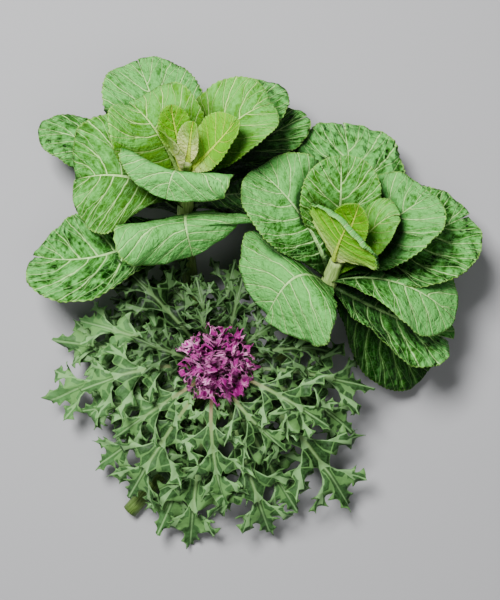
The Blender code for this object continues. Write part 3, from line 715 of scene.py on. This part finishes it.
class Wire:
    """A value in a finish, on which arithmetic adds Math nodes."""

    def __init__(self, finish, socket):
        self.finish, self.socket = finish, socket

    def math(self, operation, *others):
        sockets = dict(enumerate((self, *others)))
        return self.finish.node("ShaderNodeMath", {"operation": operation}, sockets)

    __add__ = __radd__ = partialmethod(math, "ADD")
    __mul__ = __rmul__ = partialmethod(math, "MULTIPLY")
    __sub__ = partialmethod(math, "SUBTRACT")
    __truediv__ = partialmethod(math, "DIVIDE")
    __gt__ = partialmethod(math, "GREATER_THAN")
    __or__ = partialmethod(math, "MAXIMUM")
    __abs__ = partialmethod(math, "ABSOLUTE")

    def __rsub__(self, other):
        return self.finish.node("ShaderNodeMath", {"operation": "SUBTRACT"}, {0: other, 1: self})

    def between(self, low, high):
        """0 at low and 1 at high, smoothly."""
        sockets = {"Value": self, "From Min": low, "From Max": high}
        return self.finish.node("ShaderNodeMapRange", {"interpolation_type": "SMOOTHSTEP"}, sockets)

    def clamped(self):
        return self.math("MAXIMUM", 0.0).math("MINIMUM", 1.0)


class Finish:
    """A material under construction."""

    def __init__(self, name):
        self.material = bpy.data.materials.new(name)
        self.material.use_nodes = True
        self.tree = self.material.node_tree
        self.shader = self.tree.nodes["Principled BSDF"]

    def feed(self, socket, value):
        if isinstance(value, Wire):
            self.tree.links.new(value.socket, socket)
        elif socket.type == "RGBA":
            socket.default_value = (*value, 1.0)
        else:
            socket.default_value = value

    def node(self, kind, settings, sockets, output=0):
        """Any node: its settings first, then what its sockets hold."""
        made = self.tree.nodes.new(kind)
        for setting, value in settings.items():
            setattr(made, setting, value)
        for socket, value in sockets.items():
            self.feed(made.inputs[socket], value)
        return Wire(self, made.outputs[output])

    def read(self, name):
        return self.node("ShaderNodeAttribute", {"attribute_name": name}, {}, "Vector")

    def parts(self, vector):
        split = self.node("ShaderNodeSeparateXYZ", {}, {0: vector})
        return [Wire(self, socket) for socket in split.socket.node.outputs]

    def vector(self, *parts):
        return self.node("ShaderNodeCombineXYZ", {}, dict(enumerate(parts)))

    def leaf(self):
        """What a blade is painted with: its place, the parts of its veins, place and look, its shade."""
        place = self.read("place")
        parts = [self.parts(where) for where in (self.read("veins"), place, self.read("look"))]
        return place, *parts, self.parts(self.read("shade"))[0]

    def noise(self, where, scale, detail=2.0):
        sockets = {"Vector": where, "Scale": scale, "Detail": detail}
        return self.node("ShaderNodeTexNoise", {}, sockets, "Fac")

    def cells(self, where, scale, feature="DISTANCE_TO_EDGE"):
        sockets = {"Vector": where, "Scale": scale}
        return self.node("ShaderNodeTexVoronoi", {"feature": feature}, sockets, "Distance")

    def mix(self, factor, low, high):
        settings = {"data_type": "RGBA", "clamp_factor": True}
        return self.node("ShaderNodeMix", settings, {0: factor, 6: low, 7: high}, 2)

    def coats(self, colour, *coats):
        """A colour with coats over it, each a share and a colour."""
        for amount, coat in coats:
            colour = self.mix(amount, colour, coat)
        return colour

    def bump(self, height, distance, strength=1.0):
        sockets = {"Height": height, "Distance": distance, "Strength": strength}
        return self.node("ShaderNodeBump", {}, sockets)

    def done(self, colour, roughness, normal, **even):
        self.feed(self.shader.inputs["Base Color"], colour)
        self.feed(self.shader.inputs["Roughness"], roughness)
        self.feed(self.shader.inputs["Normal"], normal)
        for name, value in even.items():
            self.shader.inputs[name.replace("_", " ")].default_value = value
        return self.material


def smooth_finish(name):
    """A waxy green blade with pale branching veins, yellow where it is young and cream at its foot."""
    made = Finish(name)
    place, (share, side, lane), (along, across, under), (waxy, young, crinkle), shade = made.leaf()
    out = abs(side)
    wander = made.noise(place, 38.0, 3.0) - 0.5
    lane = lane + 0.5 * (side > 0.0) + wander * 0.5
    fork = out.between(0.3, 1.05) * 0.5
    thin = 1.0 - 0.6 * out
    main = lane.math("PINGPONG", 0.5)
    main_vein = main.between(0.085 * thin, 0.04 * thin)
    halo = main.between(0.2, 0.03) * (1.0 - 0.5 * out)
    upper = (lane - fork).math("PINGPONG", 0.5).between(0.034, 0.014) * out.between(0.3, 0.42)
    lower = (lane + fork * 0.8).math("PINGPONG", 0.5).between(0.034, 0.014) * out.between(0.34, 0.48)
    net = made.cells(place, 150.0).between(0.06, 0.02)
    rib_width = 0.0023 * (1.0 - share) + 0.0005
    rib = (abs(across) / rib_width).between(1.25, 0.65)
    combed = made.vector(lane * 4.0, out * 2.2, along * 8.0)
    comb = made.noise(combed, 1.6, 3.0).between(0.52, 0.62)
    vein = rib | main_vein * 0.9 | (upper | lower) * 0.55
    thread = (comb | net * 0.7) * (1.0 - 0.7 * young.clamped())

    dome = 0.45 - made.cells(place, 125.0, "F1")
    blotch = made.noise(place, 26.0, 3.0) - 0.5
    streak = made.noise(combed, 0.8, 2.0) - 0.5
    fleck = made.noise(place, 330.0, 3.0) - 0.5
    rough = crinkle * out.between(0.15, 0.6)
    dimples = made.cells(place, 190.0, "F1").between(0.42, 0.16)
    dimples = dimples * made.noise(place, 45.0, 2.0).between(0.52, 0.64) * waxy.between(1.05, 0.95)
    patch = made.noise(place, 95.0, 3.0) - 0.5
    # The blade's waxy bloom, in random patches and streaks; the tops of the swellings between the veins are
    # painted lighter, a painted highlight
    bloom_and_painted_light = waxy + blotch * 0.9 + patch * 1.5 + streak * 1.7 + dome * rough * 1.3 + fleck * 1.1
    # lighter towards the margin, and darker towards the foot: partly the leaf's own deeper green there,
    # partly painted shade
    bloom_and_painted_light = bloom_and_painted_light + (out - 0.5) * 0.4 + share.between(0.2, 0.78) - 0.7
    # the dimples are painted darker: painted shade in them
    bloom_and_painted_light = bloom_and_painted_light - dimples * rough * 0.7
    blade = made.mix((bloom_and_painted_light * 2.0).clamped(), (0.004, 0.036, 0.001), (0.036, 0.178, 0.015))
    yellow = (young * (2.4 - 1.7 * share) + young * blotch).clamped()
    cream = (young + 0.85 * (1.0 - share) * young).between(1.2, 1.75)
    # how much the pale veins and margin show: less on leaves that are painted as in shade
    lit = 0.25 + 0.75 * waxy.between(-0.5, 0.2)
    pale = made.mix(young.clamped(), (0.48, 0.87, 0.28), (0.64, 0.84, 0.06))
    # the colour of the painted shade where other leaves crowd round a point: near black, a darker
    # yellow-green on young leaves
    dark = made.mix(young.clamped(), (0.002, 0.018, 0.001), (0.12, 0.28, 0.001))
    # how much of that painted shade a leaf takes: less if it is young or frosted
    painted_shade_share = 0.95 - 0.85 * young - 0.8 * waxy.between(0.9, 1.3)
    blade = made.coats(
        blade,
        ((bloom_and_painted_light * 2.0 - 1.0).clamped(), (0.135, 0.505, 0.099)),
        (yellow, (0.15, 0.5, 0.0)),
        (cream, (0.97, 0.97, 0.42)),
        (thread * 0.42 * lit, (0.19, 0.59, 0.13)),
        (halo * 0.22, (0.18, 0.52, 0.08)),
        (vein * lit, pale),
        (out.between(0.97, 0.995) * 0.6 * lit, (0.33, 0.64, 0.11)),
        (under * (1.0 - young.clamped()) * 0.4, (0.11, 0.3, 0.08)),
        # painted shade
        (shade.between(0.05, 0.46) * painted_shade_share.clamped(), dark),
    )

    raised = (vein + thread * 0.3) * (under * 2.0 - 1.0) * 0.5
    grain = made.noise(place, 130.0, 3.0) * (0.6 + rough - 0.4 * young)
    height = raised + dome * rough * 2.0 + grain + fleck * 0.4 - dimples * rough
    normal = made.bump(height, 0.0034, 1.0)
    roughness = 0.44 + 0.16 * bloom_and_painted_light.clamped() - 0.08 * vein
    return made.done(blade, roughness, normal, Specular_IOR_Level=0.09)


def feather_finish(name):
    """A dark cut blade with a light edge, pale veins and a pinkish stalk."""
    made = Finish(name)
    place, (share, gap, edge), (_, across, under), (waxy, inner, _), shade = made.leaf()
    near = abs(gap) * VEIN_REACH
    vein = near.between(0.00105, 0.00045)
    rib = abs(across).between(0.0022, 0.001) * share.between(1.02, 0.2)
    net = made.cells(place, 170.0).between(0.07, 0.02)
    blotch = made.noise(place, 30.0, 3.0)
    fleck = made.noise(place, 300.0, 3.0) - 0.5
    # How light the blade is: random patches, lighter towards its tip, and its look, which holds painted
    # shade for the leaves beneath the smooth heads and painted light for those on the left
    bloom_and_painted_light = waxy * 0.85 - 0.15 + (blotch - 0.5) * 1.2 + fleck * 0.9 + share.between(0.35, 1.0) * 0.3
    bloom_and_painted_light = bloom_and_painted_light.clamped()
    blade = made.mix(bloom_and_painted_light, (0.006, 0.02, 0.004), (0.088, 0.225, 0.066))
    # how much the pale veins and edge show: less on leaves that are painted as in shade
    lit = 0.35 + 0.65 * waxy.between(-0.5, 0.3)
    pink = share.between(0.5, 0.1) * inner.between(0.0, 0.5)
    stalk = made.mix(pink, (0.2, 0.34, 0.11), (0.38, 0.16, 0.13))
    blade = made.coats(
        blade,
        # painted shade: leaves whose look is below 0 are painted nearly black
        ((waxy * -1.6).clamped() * 0.7, (0.002, 0.008, 0.001)),
        (near.between(0.005, 0.0005) * 0.12 * lit, (0.1, 0.27, 0.07)),
        (net * 0.15 * lit, (0.11, 0.26, 0.08)),
        (vein * 0.75 * lit, (0.25, 0.48, 0.18)),
        ((edge * VEIN_REACH).between(0.0009, 0.0002) * 0.6 * lit, (0.18, 0.4, 0.11)),
        (rib * lit, stalk),
        (under * 0.4, (0.1, 0.18, 0.08)),
        (shade.between(0.25, 0.85) * 0.9, (0.002, 0.01, 0.001)),
    )
    raised = (vein | rib) * (under * 2.0 - 1.0) * 0.5
    height = raised + made.noise(place, 210.0, 3.0) * 0.9
    normal = made.bump(height, 0.0009, 0.8)
    return made.done(blade, 0.42 + 0.15 * bloom_and_painted_light, normal, Specular_IOR_Level=0.12)


def frill_finish(name):
    """A magenta ruffled blade, deep purple inside, with pale pink at some of its edges."""
    made = Finish(name)
    place, (share, gap, edge), (_, across, under), _, shade = made.leaf()
    blotch = made.noise(place, 90.0, 3.0)
    edge = edge * VEIN_REACH
    rim = (share * 0.9 + (blotch - 0.5)).between(0.15, 0.8)
    blade = made.mix(rim, (0.034, 0.001, 0.018), (0.27, 0.004, 0.16))
    vein = (abs(gap) * VEIN_REACH).between(0.00045, 0.00015)
    pale = edge.between(0.0012, 0.0002) * made.noise(place, 55.0, 2.0).between(0.42, 0.66)
    rib = (abs(across) / 0.0008).between(1.3, 0.6) * share.between(0.8, 0.3)
    blade = made.coats(
        blade,
        (vein * 0.35, (0.56, 0.09, 0.4)),
        (pale * 0.95, (0.9, 0.4, 0.68)),
        (rib * 0.6, (0.5, 0.12, 0.33)),
        (under * 0.3, (0.42, 0.05, 0.26)),
        (shade.between(0.45, 0.95) * 0.85, (0.03, 0.002, 0.014)),
    )
    normal = made.bump(made.noise(place, 300.0, 3.0), 0.0006, 0.7)
    return made.done(blade, 0.42, normal, Specular_IOR_Level=0.12)


def stalk_finish(name, skin, light):
    """A fibrous green stalk, with a pale cut face."""
    made = Finish(name)
    run, turn, inward = made.parts(made.read("veins"))
    streaks = made.vector(run * 12.0, turn.math("SINE"), turn.math("COSINE"))
    fibre = made.noise(streaks, 9.0, 4.0)
    blade = made.mix(fibre.between(0.35, 0.65), skin, light)
    cut = inward.between(0.99, 0.9)
    rings = made.noise(made.vector(inward * 6.0), 5.0, 2.0)
    face = made.mix(inward.between(0.8, 0.55), (0.28, 0.4, 0.13), (0.56, 0.62, 0.36))
    face = made.mix(rings * 0.4, face, (0.42, 0.52, 0.23))
    blade = made.mix(cut, blade, face)
    normal = made.bump(fibre, 0.0006, 0.6)
    return made.done(blade, 0.45, normal, Specular_IOR_Level=0.2)


def frill_leaves(head):
    """The small leaves of a feathered head's heart, ring by ring."""
    axes = Axes(head)
    foot = head.length + GAP / MM + FRILL_FOOT
    leaves = []
    for count, height, out, up, width, first in FRILLS:
        for n in range(count):
            azimuth = first + 360 / count * n
            outward = axes.outward(azimuth)
            base = axes.foot / MM + axes.axis * (foot + height)
            tip = base + outward * out + axes.axis * up
            middle = base + outward * out * 0.62 + axes.axis * up * 0.42
            leaves.append(Leaf(foot + height, azimuth, middle, tip, width, 0.25, 0, 0.16, "frill"))
    return leaves


def smooth_kale(name, head, leaves, heart, seed):
    """One smooth head's sheets, as piece name, sheets, node and slot."""
    axes = Axes(head)
    made = []
    for n, leaf in enumerate(leaves):
        sheet = smooth_sheet(axes, leaf, seed + n, lanes=6 + round(leaf.width / 36))
        made.append((f"{name}_leaf_{n:02d}", [sheet], f"{name}_leaves", "smooth_leaf"))
    for n, leaf in enumerate(heart):
        fold = FOLD if leaf.width > LARGE_HEART_LEAF else 0.0
        sheet = smooth_sheet(axes, leaf, seed + 50 + n, rows=56, lanes=8, fringe=0.01, fold=fold)
        made.append((f"{name}_heart_leaf_{n}", [sheet], f"{name}_heart", "young_leaf"))
    return made


def feathered_kale():
    """The feathered head's sheets, in the same order."""
    axes = Axes(FEATHER)
    draw = np.random.default_rng(7)
    sheets = []
    for n, (height, azimuth, middle, tip, width) in enumerate(FEATHER_LEAVES):
        leaf = Leaf(height, azimuth, middle, tip, width, 0.0, 0, FEATHER_WAVE, "outer")
        # the leaves beneath the smooth heads are painted as in shade
        look = LOOKS["deep"] if n in SHADED_FEATHERS else None
        sheets.append(feather_sheet(axes, leaf, draw, n, look=look))
    ruffle = {"lobes": FRILL_LOBES, "sinus": FRILL_SINUS, "curl": FRILL_CURL, "look": LOOKS["frill"]}
    ruffles = [
        feather_sheet(axes, leaf, np.random.default_rng(300 + n), 200 + n, **ruffle)
        for n, leaf in enumerate(frill_leaves(FEATHER))
    ]
    groups = [
        ("feathered_leaves", sheets, FEATHERS_A_PIECE, "feathered_head_leaves", "feathered_leaf"),
        ("frills", ruffles, FRILLS_A_PIECE, "feathered_head_heart", "frilled_leaf"),
    ]
    made = []
    for name, grown, size, node, slot in groups:
        for n in range(0, len(grown), size):
            made.append((f"{name}_{n:02d}", grown[n : n + size], node, slot))
    return made


def grow_leaves(finishes):
    """Every leaf of the bunch, shaded by the leaves that crowd round it."""
    made = smooth_kale("left_head", LEFT, LEFT_LEAVES, LEFT_HEART, 1)
    made += smooth_kale("right_head", RIGHT, RIGHT_LEAVES, RIGHT_HEART, 101)
    made += feathered_kale()
    points, faces, first = [], [], 0
    for _, sheets, _, _ in made:
        for sheet in sheets:
            points += sheet.points.tolist()
            faces += [tuple(first + corner for corner in face) for face in sheet.faces]
            first += len(sheet.points)
    crowd = BVHTree.FromPolygons(points, faces)
    for name, sheets, node, slot in made:
        blades(sheets, crowd, name, node, slot, finishes[slot])


def grow_stalks(skin, pale, frill):
    """The crowns' and the hearts' own stalks, and the cut stems."""
    smooth = [
        ("left_head", LEFT, LEFT_HEART, LEFT_STEM, 1),
        ("right_head", RIGHT, RIGHT_HEART, RIGHT_STEM, 101),
    ]
    for name, head, heart, route, seed in smooth:
        crown_stalk(head, f"{name}_crown", f"{name}_leaves", "smooth_leaf", pale)
        low, high = head.length + GAP / MM, max(leaf.height for leaf in heart) + 4
        core = (head, low, high, (CORE_NECK_RADIUS, CORE_RADIUS))
        axis_stalk(*core, f"{name}_heart_core", f"{name}_heart", "young_leaf", pale)
        stem(f"{name}_stem", head, route, skin, seed)
    crown_stalk(FEATHER, "feathered_crown", "feathered_head_leaves", "feathered_leaf", pale)
    low = FEATHER.length + GAP / MM
    core = (FEATHER, low, low + FRILL_CORE, (FRILL_CORE_RADIUS, CORE_RADIUS))
    axis_stalk(*core, "feathered_core", "feathered_head_heart", "frilled_leaf", frill)
    stem("feathered_head_stem", FEATHER, FEATHER_STEM, skin, 9)


def floor():
    """A plain pale floor just below the bunch."""
    mesh = bpy.data.meshes.new("floor")
    corners = [(-1, -1), (1, -1), (1, 1), (-1, 1)]
    corners = [(x * FLOOR_REACH, y * FLOOR_REACH, -FLOOR_DROP) for x, y in corners]
    mesh.from_pydata(corners, [], [(0, 1, 2, 3)])
    made = Finish("floor")
    made.shader.inputs["Base Color"].default_value = (0.42, 0.42, 0.43, 1.0)
    made.shader.inputs["Roughness"].default_value = 0.9
    mesh.materials.append(made.material)
    ground = put("floor", mesh)


def soft_light(name, place, size, power):
    """A square area light that looks at the bunch."""
    lamp = bpy.data.lights.new(name, "AREA")
    lamp.shape = "SQUARE"
    lamp.size = size
    lamp.energy = power
    made = put(name, lamp)
    made.location = place
    made.rotation_mode = "QUATERNION"
    made.rotation_quaternion = (Vector((0, 0, 0.06)) - Vector(place)).to_track_quat("-Z", "Y")


def studio():
    """Soft light from beyond the heads and from above, and the camera looking straight down."""
    soft_light("key", (-0.5, 0.7, 1.72), 0.6, 68.0)
    soft_light("fill", (0.3, -0.6, 1.9), 1.2, 8.0)
    world = bpy.data.worlds.new("room")
    world.use_nodes = True
    sky = world.node_tree.nodes["Background"].inputs
    sky["Color"].default_value = (0.9, 0.95, 1.0, 1.0)
    sky["Strength"].default_value = 0.06
    bpy.context.scene.world = world
    camera = put("camera", bpy.data.cameras.new("camera"))
    camera.data.lens = CAMERA_LENS
    camera.location = Vector((0.0, 0.0, CAMERA_HEIGHT)) - Vector(CENTRE)
    bpy.context.scene.camera = camera


frilled_leaf = frill_finish("frilled_leaf")
smooth_leaf = smooth_finish("smooth_leaf")
leaf_finishes = {
    "smooth_leaf": smooth_leaf,
    "young_leaf": smooth_leaf,
    "feathered_leaf": feather_finish("feathered_leaf"),
    "frilled_leaf": frilled_leaf,
}
grow_leaves(leaf_finishes)
stem_skin = stalk_finish("stem", (0.06, 0.12, 0.018), (0.15, 0.25, 0.06))
pale_skin = stalk_finish("crown_stem", (0.22, 0.37, 0.08), (0.42, 0.59, 0.19))
grow_stalks(stem_skin, pale_skin, frilled_leaf)
floor()
studio()
